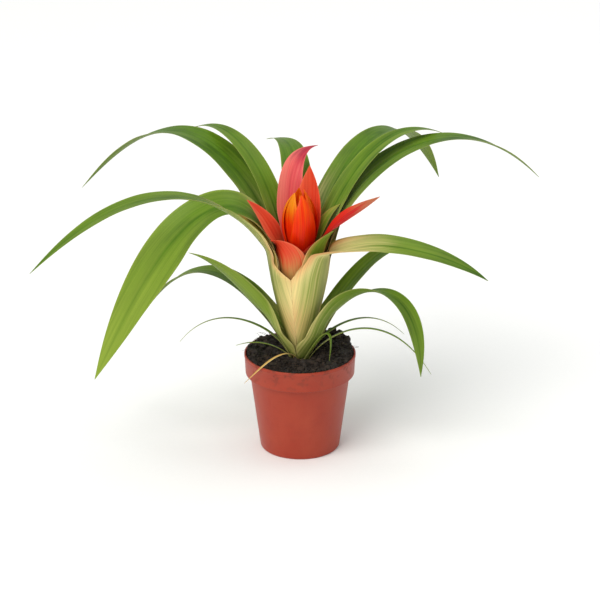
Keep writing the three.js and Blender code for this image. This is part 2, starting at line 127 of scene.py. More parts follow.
class StageSettings(bpy.types.PropertyGroup):
    elevation: FloatProperty(name="Elevation", description="Camera's height above the horizon",
                             subtype="ANGLE", unit="ROTATION", default=math.radians(21.5))
    distance: length_prop("Distance", "From the camera to the plant", 1420)
    lens: FloatProperty(name="Lens", description="Focal length of the camera", unit="CAMERA", default=136)
    target_height: length_prop("Target height", "Height that the camera looks at", 94)
    floor: colour_prop("Floor", "Colour of the floor", paint(250, 250, 248))


# The layers that leaves are wound in. Heights are in mm above the crown, where the stem leaves the peat.

CROWN = 62
ROOT_RADIUS = 4.3
CUP_HEIGHT = 74
CUP_FLARE = 16.2
CUP_BEND = 1.6
CUP_PITCH = 1.34
CONE_SLOPE = 0.6
CONE_PITCH = 1.9
BRACT_SLOPE = 0.36
BRACT_FOOT = 50
BRACT_PITCH = 3.4


def mix(a, b, t):
    return a + (b - a) * t


def smooth(low, high, x):
    t = min(1.0, max(0.0, (x - low) / (high - low)))
    return t * t * (3 - 2 * t)


def bump(centre, width, x):
    return math.exp(-((x - centre) / width) ** 2)


def cup_layer(k):
    """Root height and radius of a sheath in the funnel, k layers in from the outermost."""
    root = CUP_HEIGHT * (1 - (1 - k * CUP_PITCH / CUP_FLARE) ** (1 / CUP_BEND))

    def radius(h):
        rest = max(0.0, 1 - h / CUP_HEIGHT)
        return ROOT_RADIUS - k * CUP_PITCH + CUP_FLARE * (1 - rest ** CUP_BEND)
    return root, radius


def cone_layer(root, slope):
    return root, lambda h: ROOT_RADIUS + slope * (h - root)


def base_layer(k):
    return cone_layer(-CONE_PITCH * (k + 1), CONE_SLOPE)


def bract_layer(k):
    return cone_layer(BRACT_FOOT + BRACT_PITCH * k, BRACT_SLOPE)


# Kinds of leaf and bract, in mm and degrees. azimuth is where a leaf leaves the stem, turn swings it aside
# at the mouth of its sheath, and sweep bends it on along the blade. mouth is the height of that mouth. wrap
# and sheath_half are how far the sheath reaches round, as an angle and as a length. base is the share of the
# width that is left at the mouth, and narrow and opening are the lengths over which the sheath draws in and
# the blade opens. channel is how deep the blade is folded, and taper how late it narrows. arch is where the
# blade sets off to, where it bends and where it ends, as radius and height. press is how far the sheath's
# margins, at its lower and its higher azimuth, are pressed in on the sheath beneath.
# Looks are shares. pale is how cream the sheath is and pale_end where on the blade that ends, cream is how
# much of it the blade's middle has, blush how pink the mouth is, light how light the whole is and ripen how
# much lighter its tip, lit which side of a bract is the lighter, a painted highlight on the side that the key
# light falls on, and tip how far its tip has turned.

STRAP = dict(
    turn=0, sweep=0, base=0.6, narrow=14, waist=1, twist=0, twist_from=0.08, twist_to=0.6, tip_twist=0,
    press=(1.3, 1.3),
    hue="leafy", pale=0.9, pale_end=0.3, cream=0.24, blush=0.5, light=0.3, ripen=0, tip=0, columns=14,
    rows=64)
CUP = dict(STRAP, wrap=70, sheath_half=60, opening=26, channel=26, taper=3)
INNER_CUP = dict(CUP, wrap=52)
BASE = dict(
    STRAP, wrap=58, sheath_half=10, opening=20, channel=34, taper=2.6, pale=0.4, pale_end=0.28,
    blush=0.1, rows=48)
SLENDER = dict(
    STRAP, mouth=1, wrap=20, sheath_half=1.6, opening=8, channel=25, taper=2.4, pale=0.4, blush=0,
    columns=4, rows=36)
BRACT = dict(
    STRAP, wrap=46, sheath_half=8, opening=14, waist=0.7, channel=36, taper=2.4, hue="flame", pale=0.5,
    pale_end=0.2, blush=0.3, lit=0, rows=40)
BUD = dict(
    STRAP, wrap=52, sheath_half=9, opening=10, channel=50, taper=2.8, hue="flame", pale=0, pale_end=0.1,
    blush=0.6, rows=32)

LONG_LEAVES = {
    "leaf_front_left": dict(
        CUP, layer=cup_layer(0), azimuth=180, turn=32, width=20, mouth=69, wrap=72, base=0.5, narrow=12,
        opening=16, arch=((29, 85), (87, 164), (183, 90)), pale=1, pale_end=0.36, blush=0.75, light=0.3),
    "leaf_back_right": dict(
        CUP, layer=cup_layer(0), azimuth=46, turn=12, width=25, mouth=66, wrap=46,
        arch=((38, 106), (116, 160), (178, 66)), pale=0.6, light=0.15),
    "leaf_right": dict(
        CUP, layer=cup_layer(1), azimuth=316, turn=33, width=22, mouth=69, wrap=78, narrow=20,
        arch=((24, 77), (80, 82), (117, 57)), twist=12, twist_from=0, twist_to=0.25, press=(0, 1.3),
        pale=1.3, pale_end=0.44, cream=0.7, blush=1, light=0.4, ripen=-0.7),
    "leaf_back_left": dict(
        CUP, layer=cup_layer(1), azimuth=137, sweep=10, width=26, mouth=70,
        arch=((34, 99), (100, 174), (170, 78)), pale=0.6, light=0.15),
    "leaf_broad_left": dict(
        INNER_CUP, layer=cup_layer(2), azimuth=178, width=32, mouth=70, wrap=38,
        arch=((28, 101), (61, 137), (130, -20)), twist=-65, pale_end=0.2, light=0.55, ripen=1),
    "leaf_long_right": dict(
        INNER_CUP, layer=cup_layer(2.25), azimuth=30, width=22, mouth=70,
        arch=((30, 110), (106, 162), (180, 86)), pale=0.5, light=0.2),
    "leaf_inner_right": dict(
        INNER_CUP, layer=cup_layer(3), azimuth=36, width=17, mouth=70, wrap=46,
        arch=((25, 98), (62, 152), (116, 122)), pale=0.4, light=0.3),
    "leaf_inner_left": dict(
        INNER_CUP, layer=cup_layer(3), azimuth=129, width=16, mouth=70, wrap=45,
        arch=((24, 101), (62, 150), (116, 118)), pale=0.4, light=0.3),
    "leaf_short_left": dict(
        INNER_CUP, layer=cup_layer(1), azimuth=214, turn=-8, width=14, mouth=68, wrap=9, base=0.3,
        arch=((20, 79), (29, 88), (42, 99)), twist=-24, twist_from=0, twist_to=0.3, hue="bronze",
        pale=0.2, pale_end=0.3, blush=0.3, light=0.25, rows=48),
    "leaf_short_right": dict(
        INNER_CUP, layer=cup_layer(3), azimuth=297, turn=25, width=13, mouth=66, wrap=43, narrow=9,
        arch=((17, 74), (20, 82), (27, 88)), blush=0.9, light=0.5, rows=48),
    "leaf_back": dict(
        INNER_CUP, layer=cup_layer(4), azimuth=92, sweep=10, width=20, mouth=71,
        arch=((20, 104), (52, 130), (106, 108)), pale=0.4, light=0.2),
}

LOW_LEAVES = {
    "leaf_low_left": dict(
        BASE, layer=base_layer(0), azimuth=188, turn=9, width=18, mouth=18, wrap=60, sheath_half=15,
        arch=((28, 41), (50, 68), (71, 75)), twist=34, twist_from=0, twist_to=0.3, light=0.5),
    "leaf_low_right": dict(
        BASE, layer=base_layer(0), azimuth=321, turn=12, width=18, mouth=17, wrap=71, sheath_half=16,
        taper=3.4, arch=((23, 50), (82, 80), (83, 0)), twist=-24, twist_from=0, twist_to=0.25,
        tip_twist=52, light=0.2, ripen=0.8),
    "leaf_low_back_right": dict(
        BASE, layer=base_layer(1), azimuth=32, width=17, mouth=13, wrap=54,
        arch=((30, 34), (72, 90), (118, 34))),
    "leaf_low_back_left": dict(
        BASE, layer=base_layer(1), azimuth=150, width=20, mouth=12, wrap=54,
        arch=((30, 32), (72, 72), (116, 6))),
    "leaf_low_back": dict(
        BASE, layer=base_layer(2), azimuth=95, width=14, mouth=10, wrap=43,
        arch=((26, 28), (58, 58), (96, 10))),
}

SLENDER_LEAVES = {
    "slender_leaf_dry": dict(
        SLENDER, layer=base_layer(2), azimuth=245, sweep=-38, width=1.9,
        arch=((17, 9), (39, 15), (39, -13))),
    "slender_leaf_front_left": dict(
        SLENDER, layer=base_layer(2), azimuth=202, width=2.4, arch=((16, 8), (28, 15), (43, 12))),
    "slender_leaf_front_right": dict(
        SLENDER, layer=base_layer(1), azimuth=312, width=2.8, arch=((20, 20), (33, 35), (27, 3))),
    "slender_leaf_right": dict(
        SLENDER, layer=base_layer(2), azimuth=346, width=3.2, arch=((22, 20), (58, 38), (84, -6))),
    "slender_leaf_back_right": dict(
        SLENDER, layer=base_layer(2), azimuth=28, width=3, arch=((20, 16), (52, 26), (76, -2))),
    "slender_leaf_left": dict(
        SLENDER, layer=base_layer(2), azimuth=160, width=3, arch=((20, 18), (58, 30), (82, -4))),
}

BRACTS = {
    "bract_front": dict(
        INNER_CUP, layer=cup_layer(4), azimuth=230, sweep=-30, width=26, mouth=65, wrap=58, opening=14,
        arch=((14.6, 73), (16.8, 80), (20, 77.5)), hue="flame", pale=1, pale_end=0.2, blush=0, light=0.3,
        lit=0, rows=44),
    "bract_right": dict(
        BRACT, layer=bract_layer(0), azimuth=330, turn=16, width=15, mouth=68, wrap=66, sheath_half=12,
        base=0.8, taper=3.2, arch=((16, 86), (32, 95), (50, 108)), twist=24, hue="crimson", blush=0.6,
        light=0.7, lit=0.4, tip=1),
    "bract_left": dict(
        BRACT, layer=bract_layer(0), azimuth=171, width=17, mouth=62,
        arch=((16, 79), (22, 91), (33, 100)), twist=-30, pale_end=0.45, light=0.65, lit=0.3),
    "bract_back": dict(
        BRACT, layer=bract_layer(1), azimuth=120, sweep=-44, width=19, mouth=64, taper=3.2,
        arch=((18, 93), (23, 124), (48, 122)), hue="rose", pale=0.1, blush=0.9, light=0.9, lit=0.7),
    "bract_back_side": dict(
        BRACT, layer=bract_layer(1), azimuth=26, width=16, mouth=64, wrap=42,
        arch=((14, 82), (19, 91), (28, 95)), hue="green", pale=0, blush=0, light=0.15),
    "bract_back_right": dict(
        BRACT, layer=bract_layer(2), azimuth=68, width=22, mouth=66, channel=50, taper=3,
        arch=((12.6, 82), (19, 100), (16, 119)), pale=0.1, blush=0, light=0.6, lit=0.6),
}

BUD_BRACTS = {}
for number in range(6):
    inner = number % 2
    BUD_BRACTS[f"bud_bract_{number + 1}"] = dict(
        BUD, layer=bract_layer(3 + inner), azimuth=286 + 60 * number, width=18 - 3 * inner,
        mouth=70 + 2 * inner,
        arch=((9.5, 84), (9.5, 98), (2.2, 109)) if inner else ((12.5, 84), (12.8, 97), (3.4, 106)),
        tip=(0.12, 0.45, 0.6, 0.7, 1.0, 1.0)[number])
BUD_BRACTS["bud_bract_6"].update(arch=((9.5, 84), (10.5, 98), (4.4, 107.5)))

RAD = math.pi / 180
SHEATH_STEPS = 20
ARCH_STEPS = 60
SMOOTH_PASSES = 6


def middle_line(leaf):
    """A leaf's middle as radius and height, up the sheath and along its arch, with lengths along it."""
    root, radius = leaf["layer"]
    points = []
    for i in range(SHEATH_STEPS + 1):
        h = mix(root, leaf["mouth"], i / SHEATH_STEPS)
        points.append(Vector((radius(h), h)))
    start = points[-1]
    launch, crest, tip = (Vector(p) for p in leaf["arch"])
    for i in range(1, ARCH_STEPS + 1):
        t = i / ARCH_STEPS
        points.append(start * (1 - t) ** 3 + launch * 3 * t * (1 - t) ** 2
                      + crest * 3 * t * t * (1 - t) + tip * t ** 3)
    for _ in range(SMOOTH_PASSES):
        old = [p.copy() for p in points]
        for i in range(1, len(points) - 1):
            points[i] = (old[i - 1] + old[i + 1]) / 4 + old[i] / 2
    lengths = [0.0]
    for a, b in zip(points, points[1:]):
        lengths.append(lengths[-1] + (b - a).length)
    return points, lengths, lengths[SHEATH_STEPS]


def point_at(points, lengths, s):
    i = 1
    while i < len(lengths) - 1 and lengths[i] < s:
        i += 1
    t = (s - lengths[i - 1]) / (lengths[i] - lengths[i - 1])
    return points[i - 1].lerp(points[i], t)


def row_lengths(total, mouth, rows):
    """Lengths of a leaf's rows along it: closer together round the mouth, where the sheath opens."""
    samples = 400
    sums = [0.0]
    for i in range(samples):
        s = total * (i + 0.5) / samples
        sums.append(sums[-1] + 1 + 2.2 * bump(mouth, 14, s))
    lengths, i = [0.0], 0
    for row in range(1, rows):
        while sums[i] < sums[-1] * row / rows:
            i += 1
        lengths.append(total * i / samples)
    return lengths + [total]


def strap_rows(leaf, seed):
    """For each row of a leaf: its middle, its side and face directions, its half angle and half width."""
    points, lengths, mouth = middle_line(leaf)
    total = lengths[-1]
    mouth_radius = leaf["layer"][1](leaf["mouth"])
    reach = min(leaf["width"] * leaf["base"], leaf["sheath_half"])
    mouth_half = min(leaf["wrap"] * RAD, reach / mouth_radius)

    def place(s):
        v = max(0.0, s - mouth) / (total - mouth)
        turn = leaf["turn"] * smooth(-14, 34, s - mouth)
        azimuth = (leaf["azimuth"] + turn + leaf["sweep"] * v * v) * RAD
        p = point_at(points, lengths, s)
        return Vector((p.x * math.cos(azimuth), p.x * math.sin(azimuth), p.y))

    rows = []
    for s in row_lengths(total, mouth, leaf["rows"]):
        along = max(0.0, s - mouth)
        v = along / (total - mouth)
        middle = place(s)
        tangent = (place(min(total, s + 1.5)) - place(max(0.0, s - 1.5))).normalized()
        radius = Vector((middle.x, middle.y)).length
        outward = Vector((middle.x, middle.y, 0)) / radius
        side = Vector((0, 0, 1)).cross(outward)
        side = (side - tangent * side.dot(tangent)).normalized()
        face = (-outward).lerp(tangent.cross(side), smooth(-4, 16, s - mouth)).normalized()
        turned = leaf["twist"] * smooth(leaf["twist_from"], leaf["twist_to"], v)
        turned += leaf["tip_twist"] * smooth(0.3, 0.85, v)
        twist = Matrix.Rotation(turned * RAD, 3, tangent)
        side, face = twist @ side, twist @ face

        half_angle = min(leaf["wrap"] * RAD, leaf["sheath_half"] / radius)
        half_angle = mix(half_angle, mouth_half, smooth(-leaf["narrow"], 0, s - mouth))
        half_width = half_angle * radius
        if along > 0:
            channel = mix(leaf["channel"], leaf["channel"] * 0.5, v) * RAD
            spread = mix(leaf["waist"], 1, smooth(0, 0.4, v)) * (1 - v ** leaf["taper"])
            blade = max(0.14, leaf["width"] / 2 * spread)
            half_angle = mix(mouth_half, channel, smooth(0, leaf["opening"], along))
            half_width = mix(mouth_half * mouth_radius, blade, smooth(0, leaf["opening"], along))
        sway = 0.7 * noise.noise(Vector((s / 38, seed * 3.1, 0))) * smooth(0, 0.2, v) * (1 - v)
        middle = middle + side * sway * min(1, half_width / 6)
        rows.append((s, v, middle, side, face, half_angle, half_width))
    return rows, mouth


def relief(leaf, t, s, v, half_width, mouth, seed):
    """How far a point stands off its leaf's plain section, in mm: pleats, midrib, a wavy margin on the
    blade, and on the sheath a margin that is pressed on the one beneath."""
    size = min(1.0, half_width / 7)
    pleats = 0.09 * math.cos(math.pi * 5 * t) * (1 - t * t)
    midrib = 0.16 * bump(0, 0.13, t) * (1 - v)
    swell = noise.noise(Vector((s / 16, seed * 5.7 + (1.3 if t > 0 else 0), 0)))
    margin = 0.9 * swell * abs(t) ** 3 * smooth(0.02, 0.25, v) * (1 - v)
    pressed = leaf["press"][t > 0] * smooth(0.7, 1, abs(t)) * (1 - smooth(-5, 3, s - mouth))
    pressed *= smooth(6, 12, half_width)
    return size * (pleats + midrib + margin) - pressed


def looks(leaf, t, s, v, mouth, seed):
    """The masks that a leaf's shader reads: pale, blush, light, and its margin."""
    edge = abs(t)
    fray = 0.12 * noise.noise(Vector((t * 5, s / 30, seed * 2.3)))
    middle = mix(0.24, leaf["cream"], smooth(0, 0.04, v))
    sheath = leaf["pale"] * mix(middle, 1, edge ** 2.2) * smooth(-0.25, 0.35, s / max(mouth, 1))
    pale = sheath * (1 - smooth(0, leaf["pale_end"], v + fray))
    lip = smooth(0.55, 1.0, edge) * bump(mouth + 2, 17, s)
    foot = 0.6 * bump(mouth * 0.36, mouth * 0.22 + 1, s)
    blush = leaf["blush"] * min(1.0, lip + foot * edge)
    cloud = noise.noise(Vector((t * 1.5, s / 45, seed * 4.1 + 9)))
    light = leaf["light"] + leaf["ripen"] * (v - 0.5) + 0.25 * cloud - 0.3 * bump(0, 0.1, t)
    return max(0, min(1, pale)), max(0, min(1, blush)), max(0, min(1, light)), smooth(0.86, 0.98, edge)


def bract_looks(leaf, t, s, v, mouth, seed):
    """A bract's masks: its green foot or tip, its deeper parts, its lighter parts with a painted highlight
    down its lit side, and its margin.
    """
    fray = 0.16 * noise.noise(Vector((t * 4, s / 18, seed * 2.3)))
    along = (s - mouth) / 40
    foot = leaf["pale"] * (1 - smooth(leaf["pale_end"] - 0.45, leaf["pale_end"] + 0.1, along + fray))
    green_tip = leaf["tip"] * smooth(0.62, 0.95, v + fray)
    deep = leaf["blush"] * (0.15 * smooth(0.1, 1, v + fray) + 0.85 * smooth(0.66, 0.86, v + fray))
    # side weighs the lighter share: more towards both margins, and, by lit, a painted highlight down the side
    # that faces the key light.
    side = 0.55 + 0.45 * abs(t) + leaf["lit"] * t
    light = leaf["light"] * (0.75 + 0.9 * fray) * smooth(-0.1, 0.3, v) * side
    return max(foot, green_tip), max(0, min(1, deep)), max(0, min(1, light)), smooth(0.82, 0.98, abs(t))


def bud_looks(leaf, t, s, v, mouth, seed):
    """A bud bract's masks: its yellow tip, its deeper foot, its lighter streaks and its margin."""
    fray = 0.12 * noise.noise(Vector((t * 4, s / 14, seed * 2.3)))
    tip = leaf["tip"] * smooth(0.38, 0.85, v + fray)
    foot = leaf["blush"] * (1 - smooth(0.0, 0.45, v + fray))
    return max(0, min(1, tip)), max(0, min(1, foot)), max(0, min(1, 0.12 + fray)), smooth(0.84, 0.98, abs(t))


def show(piece, node):
    """Puts a finished piece on the part's body in place of its CAD node."""
    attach(piece, BODY)
    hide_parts(node)


def to_piece(mesh_editor, name, materials):
    """Makes an object of a bmesh, shaded smooth, with its materials."""
    mesh = bpy.data.meshes.new(name)
    mesh_editor.to_mesh(mesh)
    mesh_editor.free()
    for material in materials:
        mesh.materials.append(material)
    mesh.shade_smooth()
    piece = bpy.data.objects.new(name, mesh)
    bpy.context.scene.collection.objects.link(piece)
    return piece


def grow_strap(node, leaf, seed, thickness, materials, masks):
    """One leaf or bract: a grid laid along its arch, then given thickness that thins to the margins."""
    rows, mouth = strap_rows(leaf, seed)
    columns = leaf["columns"]
    grown = bmesh.new()
    grown.loops.layers.uv.new("UVMap")
    lie = grown.verts.layers.float_vector.new("lie")
    growth = grown.verts.layers.float_color.new("growth")
    body = grown.verts.layers.deform.verify()
    bmesh.ops.create_grid(grown, x_segments=columns, y_segments=leaf["rows"], size=0.5, calc_uvs=True)
    for vertex in grown.verts:
        t = vertex.co.x * 2
        s, v, middle, side, face, half_angle, half_width = rows[round((vertex.co.y + 0.5) * leaf["rows"])]
        curve = half_width / half_angle
        angle = half_angle * t
        normal = face * math.cos(angle) - side * math.sin(angle)
        point = middle + side * curve * math.sin(angle) + face * curve * (1 - math.cos(angle))
        point -= normal * relief(leaf, t, s, v, half_width, mouth, seed)
        vertex[lie] = (t * half_width, s, seed * 10)
        vertex[growth] = masks(leaf, t, s, v, mouth, seed)
        vertex[body][0] = (1 - smooth(0.55, 1, abs(t))) * (1 - 0.7 * smooth(0.7, 1, v))
        vertex.co = (point + Vector((0, 0, CROWN))) * MM
    piece = to_piece(grown, node, materials)
    piece.vertex_groups.new(name="body")
    skin = piece.modifiers.new("Thickness", "SOLIDIFY")
    skin.thickness = thickness
    skin.offset = 0
    skin.vertex_group = "body"
    skin.thickness_vertex_group = 0.3
    skin.material_offset = 1
    rounding = piece.modifiers.new("Rounding", "SUBSURF")
    rounding.levels = rounding.render_levels = 1
    piece.name = node + "_strap"
    show(piece, node)
    return piece


# Shader helpers: a material, a node with its inputs set or joined, and the few nodes that are used most

def new_surface(name):
    material = bpy.data.materials.new(name)
    material.use_nodes = True
    material.node_tree.nodes.clear()
    return material, material.node_tree


def put(tree, kind, inputs=None, **settings):
    node = tree.nodes.new(kind)
    for key, value in settings.items():
        setattr(node, key, value)
    for key, value in (inputs or {}).items():
        socket = node.inputs[key]
        if isinstance(value, bpy.types.NodeSocket):
            tree.links.new(value, socket)
        elif socket.type == "RGBA":
            socket.default_value = (*value[:3], 1)
        else:
            socket.default_value = value
    return node


def blend_colours(tree, factor, first, second):
    return put(tree, "ShaderNodeMix", {0: factor, 6: first, 7: second}, data_type="RGBA").outputs[2]


def calculate(tree, operation, first, second=0.0, clamp=False):
    return put(tree, "ShaderNodeMath", {0: first, 1: second}, operation=operation, use_clamp=clamp).outputs[0]


def remap(tree, value, from_low, from_high, to_low=0.0, to_high=1.0):
    sockets = {"Value": value, "From Min": from_low, "From Max": from_high,
               "To Min": to_low, "To Max": to_high}
    return put(tree, "ShaderNodeMapRange", sockets).outputs[0]


def weigh(tree, *terms):
    """The sum of values, each multiplied by its weight."""
    total = 0.0
    for value, weight in terms:
        sockets = {0: value, 1: weight, 2: total}
        total = put(tree, "ShaderNodeMath", sockets, operation="MULTIPLY_ADD").outputs[0]
    return total


def noise_at(tree, where, scale, detail):
    """Noise at a place. scale is one number, or one for each axis."""
    if isinstance(scale, tuple):
        where = put(tree, "ShaderNodeMapping", {"Vector": where, "Scale": scale}).outputs[0]
        scale = 1
    sockets = {"Vector": where, "Scale": scale, "Detail": detail}
    return put(tree, "ShaderNodeTexNoise", sockets).outputs["Fac"]


def new_group(name, colours, numbers, outputs):
    """An empty node group with colour and number inputs: its tree, its input sockets and its output node."""
    tree = bpy.data.node_groups.new(name, "ShaderNodeTree")
    for label in colours:
        tree.interface.new_socket(label, in_out="INPUT", socket_type="NodeSocketColor")
    for label in numbers:
        tree.interface.new_socket(label, in_out="INPUT", socket_type="NodeSocketFloat")
    for label, kind in outputs.items():
        tree.interface.new_socket(label, in_out="OUTPUT", socket_type=kind)
    entry = tree.nodes.new("NodeGroupInput")
    return tree, entry.outputs, tree.nodes.new("NodeGroupOutput")


def strap_group():
    """Colour, veins and gloss of a leaf or bract, from the masks and the lie that its mesh carries."""
    found = bpy.data.node_groups.get("Strap surface")
    if found:
        return found
    outputs = {"Color": "NodeSocketColor", "Height": "NodeSocketFloat", "Gloss": "NodeSocketFloat"}
    tree, given, end = new_group("Strap surface", ("Main", "Dark", "Light", "Pale", "Blush", "Margin"),
                                 ("Streaks", "Mottle", "Edge"), outputs)
    lie = put(tree, "ShaderNodeAttribute", attribute_name="lie").outputs["Vector"]
    growth = put(tree, "ShaderNodeAttribute", attribute_name="growth")
    masks = put(tree, "ShaderNodeSeparateColor", {"Color": growth.outputs["Color"]}).outputs

    streak = noise_at(tree, lie, (0.75, 0.012, 1), 4)
    patch = noise_at(tree, lie, (0.11, 0.035, 1), 3)
    vein = noise_at(tree, lie, (2.1, 0.01, 1), 1)
    speck = noise_at(tree, lie, (0.9, 0.7, 1), 2)

    stripe = calculate(tree, "SUBTRACT", streak, 0.5)
    flecks = calculate(tree, "MULTIPLY", remap(tree, speck, 0.66, 0.72), 0.6)
    cloudy = calculate(tree, "MAXIMUM", remap(tree, patch, 0.42, 0.68), flecks)
    dark = calculate(tree, "MULTIPLY", cloudy, given["Mottle"])
    colour = blend_colours(tree, dark, given["Main"], given["Dark"])
    lighter = put(tree, "ShaderNodeMath", {0: stripe, 1: given["Streaks"], 2: masks["Blue"]},
                  operation="MULTIPLY_ADD", use_clamp=True).outputs[0]
    colour = blend_colours(tree, lighter, colour, given["Light"])
    room = calculate(tree, "MULTIPLY", masks["Red"], calculate(tree, "SUBTRACT", 1.0, masks["Red"]))
    fringe = calculate(tree, "MULTIPLY", calculate(tree, "MULTIPLY", room, 6.0), stripe)
    pale = calculate(tree, "ADD", masks["Red"], fringe, clamp=True)
    colour = blend_colours(tree, pale, colour, given["Pale"])
    flush = calculate(tree, "MULTIPLY", masks["Green"], remap(tree, streak, 0.3, 0.7, 0.45, 1.25),
                      clamp=True)
    colour = blend_colours(tree, flush, colour, given["Blush"])
    rim = calculate(tree, "MULTIPLY", growth.outputs["Alpha"], given["Edge"])
    colour = blend_colours(tree, rim, colour, given["Margin"])
    shade = remap(tree, vein, 0.3, 0.7, 0.9, 1.07)
    colour = put(tree, "ShaderNodeVectorMath", {0: colour, 1: shade}, operation="MULTIPLY").outputs[0]
    tree.links.new(colour, end.inputs["Color"])
    tree.links.new(weigh(tree, (vein, 1), (streak, 0.7), (speck, 0.25)), end.inputs["Height"])
    tree.links.new(remap(tree, calculate(tree, "ADD", patch, speck), 0.7, 1.3), end.inputs["Gloss"])
    return tree


def strap_material(name, colours, streaks=0.9, mottle=0.5, edge=0.5, roughness=(0.36, 0.5), glow=0.12):
    """A leaf or bract finish. colours are main, dark, light, pale, blush and margin. glow is the share of
    light that comes through."""
    found = bpy.data.materials.get(name)
    if found:
        return found
    material, tree = new_surface(name)
    surface = put(tree, "ShaderNodeGroup", node_tree=strap_group())
    for label, colour in zip(("Main", "Dark", "Light", "Pale", "Blush", "Margin"), colours):
        surface.inputs[label].default_value = (*colour[:3], 1)
    surface.inputs["Streaks"].default_value = streaks
    surface.inputs["Mottle"].default_value = mottle
    surface.inputs["Edge"].default_value = edge
    ribs = put(tree, "ShaderNodeBump", {
        "Height": surface.outputs["Height"], "Strength": 0.22, "Distance": 0.0004})
    skin = put(tree, "ShaderNodeBsdfPrincipled", {
        "Base Color": surface.outputs["Color"],
        "Roughness": remap(tree, surface.outputs["Gloss"], 0, 1, *roughness),
        "Normal": ribs.outputs[0],
        "Specular IOR Level": 0.16,
        "Coat Weight": 0.06,
        "Coat Roughness": 0.4,
    })
    through = put(tree, "ShaderNodeBsdfTranslucent", {"Color": surface.outputs["Color"]})
    both = put(tree, "ShaderNodeMixShader", {0: glow, 1: skin.outputs[0], 2: through.outputs[0]})
    end = put(tree, "ShaderNodeOutputMaterial", {"Surface": both.outputs[0]})
    end.is_active_output = True
    return material


def leaf_materials(settings, hue="leafy"):
    """The under and upper side of a leaf. hue is leafy, or bronze where it has begun to colour."""
    if hue == "bronze":
        bronze = strap_material("Bronze leaf", (
            settings.bronze, settings.green, settings.light_green, settings.cream, settings.blush,
            settings.cream), streaks=1.1, mottle=0.5, edge=0.6)
        return [bronze, bronze]
    under = strap_material("Leaf under side", (
        settings.under_green, settings.green, settings.light_green, settings.cream, settings.blush,
        settings.cream), streaks=1.1, mottle=0.35, edge=0.2, roughness=(0.42, 0.56))
    upper = strap_material("Leaf upper side", (
        settings.green, settings.dark_green, settings.light_green, settings.cream, settings.blush,
        settings.light_green), streaks=0.8, mottle=0.7, edge=0.6)
    return [under, upper]


def bract_materials(settings, hue):
    """The outside and inside of a bract. hue is flame, crimson, rose, or green where it hasn't coloured."""
    main, dark, light, foot = {
        "flame": (settings.red, settings.crimson, settings.coral, settings.tan),
        "crimson": (settings.crimson, settings.plum, settings.red, settings.tan),
        "rose": (settings.rose, settings.plum, settings.blossom, settings.tan),
        "green": (settings.olive, settings.tan, settings.tan, settings.olive),
    }[hue]
    colours = (main, dark, light, foot, dark, light)
    outside = strap_material(f"Bract outside {hue}", colours, streaks=1.1, mottle=0.3, edge=0.5,
                             roughness=(0.34, 0.48), glow=0.2)
    inside = strap_material(f"Bract inside {hue}", colours, streaks=1.0, mottle=0.2, edge=0.7,
                            roughness=(0.28, 0.42), glow=0.2)
    return [outside, inside]


def bud_materials(settings, hue="flame"):
    """Both sides of a bud bract, and the flowers, all of one hue."""
    skin = strap_material("Bud bract", (
        settings.bud, settings.bud_deep, settings.bud_orange, settings.bud_yellow, settings.bud_deep,
        settings.bud_orange), streaks=0.22, mottle=0.25, edge=0.3, roughness=(0.28, 0.4), glow=0.36)
    return [skin, skin]


# The nursery pot

def spin_profile(profile, segments):
    """Turns a profile of radius and height, in mm, about the axis. Points on the axis are closed."""
    turned = bmesh.new()
    points = [turned.verts.new((r * MM, 0, z * MM)) for r, z in profile]
    closed = profile[0][0] > 0
    edges = [turned.edges.new(pair) for pair in zip(points, points[1:] + points[:1] * closed)]
    bmesh.ops.spin(turned, geom=points + edges, cent=(0, 0, 0), axis=(0, 0, 1), dvec=(0, 0, 0),
                   angle=2 * math.pi, steps=segments, use_merge=True, use_duplicate=False)
    bmesh.ops.remove_doubles(turned, verts=turned.verts, dist=1e-6)
    bmesh.ops.recalc_face_normals(turned, faces=turned.faces)
    return turned


def rounded(profile, radii, steps=5):
    """A profile with the corners named in radii, point number to radius, cut round."""
    out = []
    for i, corner in enumerate(profile):
        radius = radii.get(i, 0)
        if not radius:
            out.append(corner)
            continue
        here, before, after = Vector(corner), Vector(profile[i - 1]), Vector(profile[(i + 1) % len(profile)])
        a = here + (before - here).normalized() * radius
        b = here + (after - here).normalized() * radius
        for step in range(steps + 1):
            t = step / steps
            out.append(tuple(a * (1 - t) ** 2 + here * 2 * t * (1 - t) + b * t * t))
    return out


DRAIN_COUNT = 8
DRAIN_RADIUS = 2.6
DRAIN_CIRCLE = 18.5
FLOOR = 1.4


